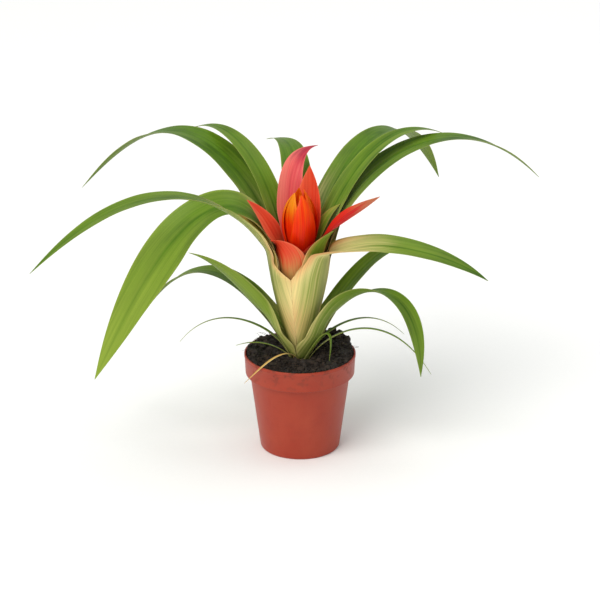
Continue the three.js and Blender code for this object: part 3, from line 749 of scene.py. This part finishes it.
def build_pot(settings):
    """The pot: its wall, collar and floor turned in one, then drilled."""
    rim, base = settings.rim_radius / MM, settings.base_radius / MM
    top, wall = settings.height / MM, settings.wall / MM
    step = top - settings.collar / MM
    collar_foot = rim - 0.8
    wall_top = collar_foot - 2.6
    profile = [
        (0, 0.5), (13, 0.5), (14, 0), (base - 0.7, 0), (base + 0.1, 0.9), (wall_top - 0.3, step - 1.6),
        (wall_top, step - 0.5), (collar_foot, step - 0.1), (collar_foot + 0.1, step + 1.3),
        (rim - 0.25, top - 2.2), (rim, top - 1.9), (rim, top), (rim - wall, top),
        (rim - wall - 0.1, top - 1.6), (collar_foot - wall, step + 1.2), (wall_top - wall, step),
        (base - wall, FLOOR), (0, FLOOR),
    ]
    profile = rounded(profile, {4: 0.5, 6: 0.4, 7: 0.3, 11: 0.45, 12: 0.45, 14: 0.6, 15: 0.6, 16: 1.2})
    piece = to_piece(spin_profile(profile, 120), "nursery_pot", [pot_material(settings)])

    drill = bmesh.new()
    for i in range(DRAIN_COUNT):
        angle = (i + 0.5) * 2 * math.pi / DRAIN_COUNT
        centre = Vector((DRAIN_CIRCLE * math.cos(angle), DRAIN_CIRCLE * math.sin(angle), FLOOR / 2)) * MM
        bmesh.ops.create_cone(drill, cap_ends=True, segments=28, radius1=DRAIN_RADIUS * MM,
                              radius2=DRAIN_RADIUS * MM, depth=6 * MM, matrix=Matrix.Translation(centre))
    cutter = to_piece(drill, "drain_drill", [])
    holes = piece.modifiers.new("Drain holes", "BOOLEAN")
    holes.object = cutter
    holes.operation = "DIFFERENCE"
    holes.solver = "EXACT"
    bpy.context.view_layer.update()
    drilled = bpy.data.meshes.new_from_object(piece.evaluated_get(bpy.context.evaluated_depsgraph_get()))
    piece.modifiers.remove(holes)
    piece.data = drilled
    bpy.data.objects.remove(cutter)
    drilled.shade_smooth()
    drilled.set_sharp_from_angle(angle=math.radians(38))
    show(piece, "pot")


def pot_material(settings):
    """Moulded plastic: a slight mottle, scuffs, dried peat under the rim and fine turned lines, and painted
    shade on the inner wall between the peat and the rim.
    """
    material, tree = new_surface("Nursery pot plastic")
    where = put(tree, "ShaderNodeTexCoord").outputs["Object"]
    height = put(tree, "ShaderNodeSeparateXYZ", {0: where}).outputs["Z"]
    cloud = noise_at(tree, where, 55, 4)
    grain = noise_at(tree, where, 900, 2)
    smear = noise_at(tree, where, 240, 5)
    scuffs = remap(tree, cloud, 0.35, 0.75, 0, 0.5)
    colour = blend_colours(tree, scuffs, settings.plastic, settings.plastic_worn)
    near_rim = remap(tree, height, 0.048, 0.0632)
    dirt = calculate(tree, "MULTIPLY", remap(tree, smear, 0.56, 0.66),
                     remap(tree, near_rim, 0, 1, 0.05, 0.5))
    colour = blend_colours(tree, dirt, colour, paint(74, 46, 34))
    # Painted shade: the inward faces of the wall just below the rim are darkened, in patches, where the rim
    # shades the wall above the peat.
    inside = put(tree, "ShaderNodeVectorMath", {0: put(tree, "ShaderNodeNewGeometry").outputs["Normal"],
                                                1: where}, operation="DOT_PRODUCT").outputs["Value"]
    inner_rim_shade = calculate(tree, "MULTIPLY", remap(tree, inside, 0.004, -0.01),
                      remap(tree, smear, 0.3, 0.6, 0.3, 1))
    inner_rim_shade = calculate(tree, "MULTIPLY", inner_rim_shade, remap(tree, height, 0.0626, 0.0615))
    colour = blend_colours(tree, inner_rim_shade, colour, paint(52, 34, 26))
    gloss = remap(tree, calculate(tree, "ADD", cloud, dirt), 0.3, 1.2, 0.34, 0.7)
    lines = noise_at(tree, where, (4, 4, 1400), 2)
    ground = weigh(tree, (grain, 0.6), (lines, 0.5), (dirt, 1.4))
    bumps = put(tree, "ShaderNodeBump", {"Height": ground, "Strength": 0.25, "Distance": 0.0003})
    shell = put(tree, "ShaderNodeBsdfPrincipled", {
        "Base Color": colour, "Roughness": gloss, "Normal": bumps.outputs[0], "Specular IOR Level": 0.35})
    put(tree, "ShaderNodeOutputMaterial", {"Surface": shell.outputs[0]})
    return material


# The peat. A heap is given by its place, its rise and how far it spreads.

MOUND = (21, 13, 6.5, 190)
BANK = (-27, 3, 3.6, 110)
RIM_BANK = 3.2
PEAT_EDGE = 33.2
FUNNEL = 7.6


def peat_height(x, y, level):
    """Height of the peat's surface in mm: heaped right and left, banked to the rim, low at the stem."""
    heaps = sum(rise * math.exp(-((x - cx) ** 2 + (y - cy) ** 2) / spread)
                for cx, cy, rise, spread in (MOUND, BANK))
    lumps = math.sin(0.55 * x + 1.3) * math.cos(0.47 * y - 0.6) + 0.6 * math.sin(0.9 * (x - y) + 2)
    rough = 1.3 * noise.fractal(Vector((x / 5, y / 5, 0.4)), 0.8, 2.2, 4)
    reach = math.hypot(x, y)
    rim = RIM_BANK * smooth(20, 32, reach) * (0.55 + 0.45 * math.sin(math.atan2(y, x) + 0.3))
    return level + rim + smooth(FUNNEL, 13, reach) * (heaps + 0.7 * lumps + rough)


def build_peat(settings):
    """The peat that fills the pot, with clods, crumbs and fibres strewn over it."""
    level = settings.level / MM
    hole = 4
    rings = [PEAT_EDGE - (PEAT_EDGE - FUNNEL) * i / 26 for i in range(27)]
    profile = [(hole, 3.7), (6, 1.7), (23.3, 1.7), (29.9, 50), (32.5, 51.8)]
    profile += [(r, level) for r in rings] + [(5.8, level - 3.6), (hole, level - 6)]
    mass = spin_profile(profile, 150)
    tint = mass.verts.layers.float.new("tint")
    for vertex in mass.verts:
        if vertex.co.z > (level - 0.1) * MM:
            vertex.co.z = peat_height(vertex.co.x / MM, vertex.co.y / MM, level) * MM
        vertex[tint] = 0.1
    piece = to_piece(mass, "peat_body", [peat_material(settings)])
    show(piece, "soil")

    draw = random.Random(7)

    def spot(low, high):
        reach = math.sqrt(draw.uniform(low * low, high * high))
        turn = draw.uniform(0, 2 * math.pi)
        return reach * math.cos(turn), reach * math.sin(turn)

    def lump(heap, x, y, z, size, rounds):
        flat = Matrix.Diagonal((draw.uniform(0.7, 1.3), draw.uniform(0.7, 1.3), draw.uniform(0.5, 0.9), 1))
        turn = Matrix.Rotation(draw.uniform(0, 6.28), 4,
                               Vector((draw.uniform(-1, 1), draw.uniform(-1, 1), 1)))
        centre = Vector((x, y, z)) * MM
        place = Matrix.Translation(centre) @ turn @ flat
        made = bmesh.ops.create_icosphere(heap, subdivisions=rounds, radius=size * MM, matrix=place)
        dryness = draw.random() ** 2
        tint = heap.verts.layers.float["tint"]
        for vertex in made["verts"]:
            push = 1 + 0.55 * noise.noise(vertex.co / (size * MM) * 1.1 + Vector((x, y, 0)))
            vertex.co = centre + (vertex.co - centre) * push
            vertex[tint] = dryness

    def clod(heap):
        x, y = spot(9.5, PEAT_EDGE - 1.5)
        size = draw.uniform(1.4, 2.9)
        lump(heap, x, y, peat_height(x, y, level) + size * 0.15, size, 2)

    def crumb(heap):
        x, y = spot(7.4, PEAT_EDGE + 0.1)
        size = 0.35 + 0.95 * draw.random() ** 2.2
        lump(heap, x, y, peat_height(x, y, level) + draw.uniform(0.0, 1.1), size, 1)

    def fibre(heap):
        tint = heap.verts.layers.float["tint"]
        x, y = spot(8.5, PEAT_EDGE - 1)
        length, thick = draw.uniform(3, 11), draw.uniform(0.08, 0.19)
        bmesh.ops.create_grid(heap, x_segments=4, y_segments=5, size=0.5)
        bend, wave = draw.uniform(-0.9, 0.9), draw.uniform(0, 6.28)
        lean = Matrix.Rotation(draw.uniform(1.1, 1.6), 4, "Y")
        heading, rise = draw.uniform(0, 6.28), peat_height(x, y, level) + 0.8
        if draw.random() < settings.stray:
            heading = math.atan2(y, x) + draw.uniform(-0.7, 0.7)
            reach = 33.6 / math.hypot(x, y)
            x, y, rise, bend = x * reach, y * reach, level + 4.3, draw.uniform(0.5, 1.3)
            length, thick = draw.uniform(4, 9), draw.uniform(0.1, 0.2)
        turn = Matrix.Rotation(heading, 4, "Z")
        dryness = draw.uniform(0.3, 1.3)
        heap.verts.ensure_lookup_table()
        for vertex in heap.verts[-30:]:
            share, angle = vertex.co.y, vertex.co.x * 2 * math.pi
            reach = thick * (0.75 - 0.5 * share)
            spine = bend * length * (share * share - 0.25) + 0.25 * math.sin(6 * share + wave)
            local = Vector((spine + reach * math.cos(angle), reach * math.sin(angle), share * length))
            vertex.co = (turn @ lean @ local + Vector((x, y, rise))) * MM
            vertex[tint] = dryness

    material = bpy.data.materials["Peat"]
    for name, make, count in (("peat_clods", clod, settings.clods), ("peat_crumbs", crumb, settings.crumbs),
                              ("peat_fibres", fibre, settings.fibres)):
        heap = to_piece(scatter(make, count), name, [material])
        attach(heap, BODY)


def scatter(make, count, batch=60):
    """Calls make count times, each time to add one bit, in batches so that the bmesh stays quick."""
    whole = bmesh.new()
    whole.verts.layers.float.new("tint")
    for start in range(0, count, batch):
        few = bmesh.new()
        few.verts.layers.float.new("tint")
        for _ in range(min(batch, count - start)):
            make(few)
        bmesh.ops.remove_doubles(few, verts=few.verts, dist=1e-8)
        mesh = bpy.data.meshes.new("batch")
        few.to_mesh(mesh)
        few.free()
        whole.from_mesh(mesh)
        bpy.data.meshes.remove(mesh)
    return whole


def peat_material(settings):
    """Moist peat: near black, browner where a crumb has dried, with a few damp glints."""
    material, tree = new_surface("Peat")
    where = put(tree, "ShaderNodeTexCoord").outputs["Object"]
    tint = put(tree, "ShaderNodeAttribute", attribute_name="tint").outputs["Fac"]
    crumb = noise_at(tree, where, 620, 5)
    patch = noise_at(tree, where, 90, 2)
    dry = calculate(tree, "MULTIPLY", calculate(tree, "ADD", tint, remap(tree, crumb, 0.4, 0.75, 0, 0.5)),
                    remap(tree, patch, 0.35, 0.7, 0.2, 1), clamp=True)
    colour = blend_colours(tree, dry, settings.dark, settings.brown)
    gloss = remap(tree, patch, 0.3, 0.55, 0.5, 0.9)
    pits = put(tree, "ShaderNodeBump", {"Height": crumb, "Strength": 0.9, "Distance": 0.0008})
    ground = put(tree, "ShaderNodeBsdfPrincipled", {
        "Base Color": colour, "Roughness": gloss, "Normal": pits.outputs[0]})
    put(tree, "ShaderNodeOutputMaterial", {"Surface": ground.outputs[0]})
    return material


# Stem and flowers

def build_stem(settings):
    """The stem keeps its CAD solid, which the leaves hide, and takes the sheaths' pale green."""
    material, tree = new_surface("Stem skin")
    where = put(tree, "ShaderNodeTexCoord").outputs["Object"]
    fibres = noise_at(tree, where, (900, 900, 30), 3)
    colour = blend_colours(tree, fibres, settings.cream, settings.light_green)
    ribs = put(tree, "ShaderNodeBump", {"Height": fibres, "Strength": 0.3, "Distance": 0.0004})
    skin = put(tree, "ShaderNodeBsdfPrincipled", {
        "Base Color": colour, "Roughness": remap(tree, fibres, 0.3, 0.7, 0.45, 0.6),
        "Normal": ribs.outputs[0]})
    put(tree, "ShaderNodeOutputMaterial", {"Surface": skin.outputs[0]})
    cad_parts["stem"].material_slots[0].material = material


FLOWER_FOOT = 66.3


def build_flowers(settings):
    """Seven slender flower buds on one short core, each of three petals rolled shut."""
    head = bmesh.new()
    lie = head.verts.layers.float_vector.new("lie")
    growth = head.verts.layers.float_color.new("growth")

    def turned(profile, x, y, lobes):
        before = set(head.verts)
        points = [head.verts.new((max(r, 0.02), 0, z)) for r, z in profile]
        edges = [head.edges.new(pair) for pair in zip(points, points[1:])]
        bmesh.ops.spin(head, geom=points + edges, cent=(0, 0, 0), axis=(0, 0, 1), dvec=(0, 0, 0),
                       angle=2 * math.pi, steps=18, use_merge=True, use_duplicate=False)
        made = [v for v in head.verts if v not in before]
        rims = [e for e in {e for v in made for e in v.link_edges} if e.is_boundary]
        bmesh.ops.contextual_create(head, geom=[e for e in rims if e.verts[0].co.z < profile[0][1] + 0.01])
        bmesh.ops.contextual_create(head, geom=[e for e in rims if e.verts[0].co.z > profile[-1][1] - 0.01])
        low, high = profile[0][1], profile[-1][1]
        for vertex in made:
            angle = math.atan2(vertex.co.y, vertex.co.x)
            share = (vertex.co.z - low) / (high - low)
            fold = 1 + lobes * 0.1 * math.cos(3 * angle + 2.2 * share)
            vertex[lie] = (angle * 4, vertex.co.z, x + 3 * y)
            vertex[growth] = (smooth(0.3, 0.8, share), 0.5 * (1 - share), 0.4, 0)
            vertex.co = Vector((vertex.co.x * fold + x, vertex.co.y * fold + y, vertex.co.z + CROWN)) * MM

    foot = FLOWER_FOOT
    core = [(2.6, 0), (3.4, 2), (4.1, 6), (4.0, 14), (2.4, 21), (0, 24)]
    turned([(r, foot + z) for r, z in core], 0, 0, 0)
    places = [(0, 0, 39, 2.2)]
    for i in range(6):
        angle = i * math.pi / 3
        places.append((2.9 * math.cos(angle), 2.9 * math.sin(angle), 31 + 3 * (i % 2), 1.9))
    for x, y, height, radius in places:
        shape = [(0.75, 3), (0.92, 0.25 * height), (1, 0.45 * height), (0.93, 0.6 * height),
                 (0.68, 0.78 * height), (0.34, 0.92 * height), (0, height)]
        turned([(radius * r, foot + z) for r, z in shape], x, y, 1)
    bmesh.ops.recalc_face_normals(head, faces=head.faces)
    piece = to_piece(head, "flower_head", bud_materials(settings)[:1])
    rounding = piece.modifiers.new("Rounding", "SUBSURF")
    rounding.levels = rounding.render_levels = 1
    show(piece, "flower_buds")


# The stage

def build_stage(settings):
    """A white floor, pale air, a soft sun, a softbox above and one in front, and the camera."""
    scene = bpy.context.scene
    sheet = bmesh.new()
    bmesh.ops.create_grid(sheet, x_segments=2, y_segments=2, size=6)
    floor = to_piece(sheet, "studio_floor", [floor_material(settings)])

    world = bpy.data.worlds.new("Studio air")
    scene.world = world
    world.use_nodes = True
    air = world.node_tree.nodes["Background"]
    air.inputs["Color"].default_value = (0.97, 0.985, 1.0, 1)
    air.inputs["Strength"].default_value = 0.6

    target = Vector((0, 0.01, settings.target_height))
    lamps = {
        "key_light": ("SUN", (-0.75, -0.8, 1.35), 0.7, 1.7, (1.0, 0.985, 0.95)),
        "top_softbox": ("AREA", (0.25, 0.25, 1.5), 1.0, 4.5, (1.0, 1.0, 1.0)),
        "front_softbox": ("AREA", (-0.5, -1.3, 0.6), 0.5, 2.5, (1.0, 0.99, 0.97)),
    }
    for name, (kind, place, size, power, colour) in lamps.items():
        lamp = bpy.data.lights.new(name, kind)
        if kind == "SUN":
            lamp.angle = size
        else:
            lamp.shape = "DISK"
            lamp.size = size
        lamp.energy = power
        lamp.color = colour
        stand = bpy.data.objects.new(name, lamp)
        stand.location = place
        stand.rotation_euler = (target - Vector(place)).to_track_quat("-Z", "Y").to_euler()
        scene.collection.objects.link(stand)

    view = bpy.data.cameras.new("Front camera")
    view.lens = settings.lens
    view.sensor_width = 36
    view.clip_start, view.clip_end = 0.05, 40
    camera = bpy.data.objects.new("Front camera", view)
    away = Vector((0, -math.cos(settings.elevation), math.sin(settings.elevation)))
    camera.location = target + away * settings.distance
    camera.rotation_euler = (-away).to_track_quat("-Z", "Y").to_euler()
    scene.collection.objects.link(camera)
    scene.camera = camera
    scene.view_settings.view_transform = "Standard"


def floor_material(settings):
    """Matt white paper with the faintest grain."""
    material, tree = new_surface("Studio paper")
    where = put(tree, "ShaderNodeTexCoord").outputs["Object"]
    grain = noise_at(tree, where, 400, 2)
    shade = [channel * 0.97 for channel in settings.floor]
    paper = put(tree, "ShaderNodeBsdfPrincipled", {
        "Base Color": blend_colours(tree, grain, settings.floor, shade), "Roughness": 0.8})
    put(tree, "ShaderNodeOutputMaterial", {"Surface": paper.outputs[0]})
    return material


# Operators, in the order in which the plant is put together

def grow_all(straps, settings, finish, masks, first_seed):
    for seed, (node, leaf) in enumerate(straps.items(), first_seed):
        grow_strap(node, leaf, seed, settings.thickness, finish(settings, leaf["hue"]), masks)


class GUZMANIA_OT_pot(bpy.types.Operator):
    """Turn the nursery pot and drill its drain holes"""
    bl_idname = "guzmania.pot"
    bl_label = "Nursery pot"

    def execute(self, context):
        build_pot(context.scene.guzmania_pot)
        return {"FINISHED"}


class GUZMANIA_OT_peat(bpy.types.Operator):
    """Fill the pot with peat, crumbs and fibres"""
    bl_idname = "guzmania.peat"
    bl_label = "Peat"

    def execute(self, context):
        build_peat(context.scene.guzmania_peat)
        return {"FINISHED"}


class GUZMANIA_OT_stem(bpy.types.Operator):
    """Finish the stem"""
    bl_idname = "guzmania.stem"
    bl_label = "Stem"

    def execute(self, context):
        build_stem(context.scene.guzmania_leaf)
        return {"FINISHED"}


class GUZMANIA_OT_long_leaves(bpy.types.Operator):
    """Grow the long leaves whose sheaths make the funnel"""
    bl_idname = "guzmania.long_leaves"
    bl_label = "Long leaves"

    def execute(self, context):
        grow_all(LONG_LEAVES, context.scene.guzmania_leaf, leaf_materials, looks, 1)
        return {"FINISHED"}


class GUZMANIA_OT_low_leaves(bpy.types.Operator):
    """Grow the low leaves round the foot"""
    bl_idname = "guzmania.low_leaves"
    bl_label = "Low leaves"

    def execute(self, context):
        grow_all(LOW_LEAVES, context.scene.guzmania_leaf, leaf_materials, looks, 21)
        return {"FINISHED"}


class GUZMANIA_OT_slender_leaves(bpy.types.Operator):
    """Grow the grassy leaves at the foot and the withered one"""
    bl_idname = "guzmania.slender_leaves"
    bl_label = "Slender leaves"

    def execute(self, context):
        settings = context.scene.guzmania_leaf
        withered = strap_material("Withered leaf", (
            settings.withered, settings.blush, settings.cream, settings.light_green, settings.blush,
            settings.cream), roughness=(0.55, 0.7))
        for seed, (node, leaf) in enumerate(SLENDER_LEAVES.items(), 31):
            dry = node.endswith("dry")
            materials = [withered, withered] if dry else leaf_materials(settings)
            grow_strap(node, leaf, seed, settings.thickness, materials, looks)
        return {"FINISHED"}


class GUZMANIA_OT_bracts(bpy.types.Operator):
    """Grow the red bracts round the mouth of the funnel"""
    bl_idname = "guzmania.bracts"
    bl_label = "Bracts"

    def execute(self, context):
        grow_all(BRACTS, context.scene.guzmania_bract, bract_materials, bract_looks, 41)
        return {"FINISHED"}


class GUZMANIA_OT_bud(bpy.types.Operator):
    """Grow the closed bud and the flower buds in it"""
    bl_idname = "guzmania.bud"
    bl_label = "Bud"

    def execute(self, context):
        settings = context.scene.guzmania_bract
        grow_all(BUD_BRACTS, settings, bud_materials, bud_looks, 51)
        build_flowers(settings)
        return {"FINISHED"}


class GUZMANIA_OT_stage(bpy.types.Operator):
    """Set the floor, the lights and the camera"""
    bl_idname = "guzmania.stage"
    bl_label = "Stage"

    def execute(self, context):
        build_stage(context.scene.guzmania_stage)
        return {"FINISHED"}


OPERATORS = (
    GUZMANIA_OT_pot, GUZMANIA_OT_peat, GUZMANIA_OT_stem, GUZMANIA_OT_long_leaves, GUZMANIA_OT_low_leaves,
    GUZMANIA_OT_slender_leaves, GUZMANIA_OT_bracts, GUZMANIA_OT_bud, GUZMANIA_OT_stage,
)

SETTINGS = {
    "guzmania_pot": PotSettings,
    "guzmania_peat": PeatSettings,
    "guzmania_leaf": LeafSettings,
    "guzmania_bract": BractSettings,
    "guzmania_stage": StageSettings,
}


class GUZMANIA_PT_panel(bpy.types.Panel):
    """The plant's pieces, each with its sizes and colours"""
    bl_label = "Potted guzmania"
    bl_idname = "GUZMANIA_PT_panel"
    bl_space_type = "VIEW_3D"
    bl_region_type = "UI"
    bl_category = "Guzmania"

    def draw(self, context):
        for operator in OPERATORS:
            self.layout.operator(operator.bl_idname)
        for name, group in SETTINGS.items():
            box = self.layout.box()
            for field in group.__annotations__:
                box.prop(getattr(context.scene, name), field)


CLASSES = (*SETTINGS.values(), *OPERATORS, GUZMANIA_PT_panel)


def register():
    for cls in CLASSES:
        bpy.utils.register_class(cls)
    for name, group in SETTINGS.items():
        setattr(bpy.types.Scene, name, PointerProperty(type=group))


def unregister():
    for name in SETTINGS:
        delattr(bpy.types.Scene, name)
    for cls in reversed(CLASSES):
        bpy.utils.unregister_class(cls)


def main():
    register()
    bpy.ops.guzmania.pot()
    bpy.ops.guzmania.peat()
    bpy.ops.guzmania.stem()
    bpy.ops.guzmania.long_leaves()
    bpy.ops.guzmania.low_leaves()
    bpy.ops.guzmania.slender_leaves()
    bpy.ops.guzmania.bracts()
    bpy.ops.guzmania.bud()
    bpy.ops.guzmania.stage()
    bpy.context.view_layer.update()


if __name__ == "__main__":
    main()
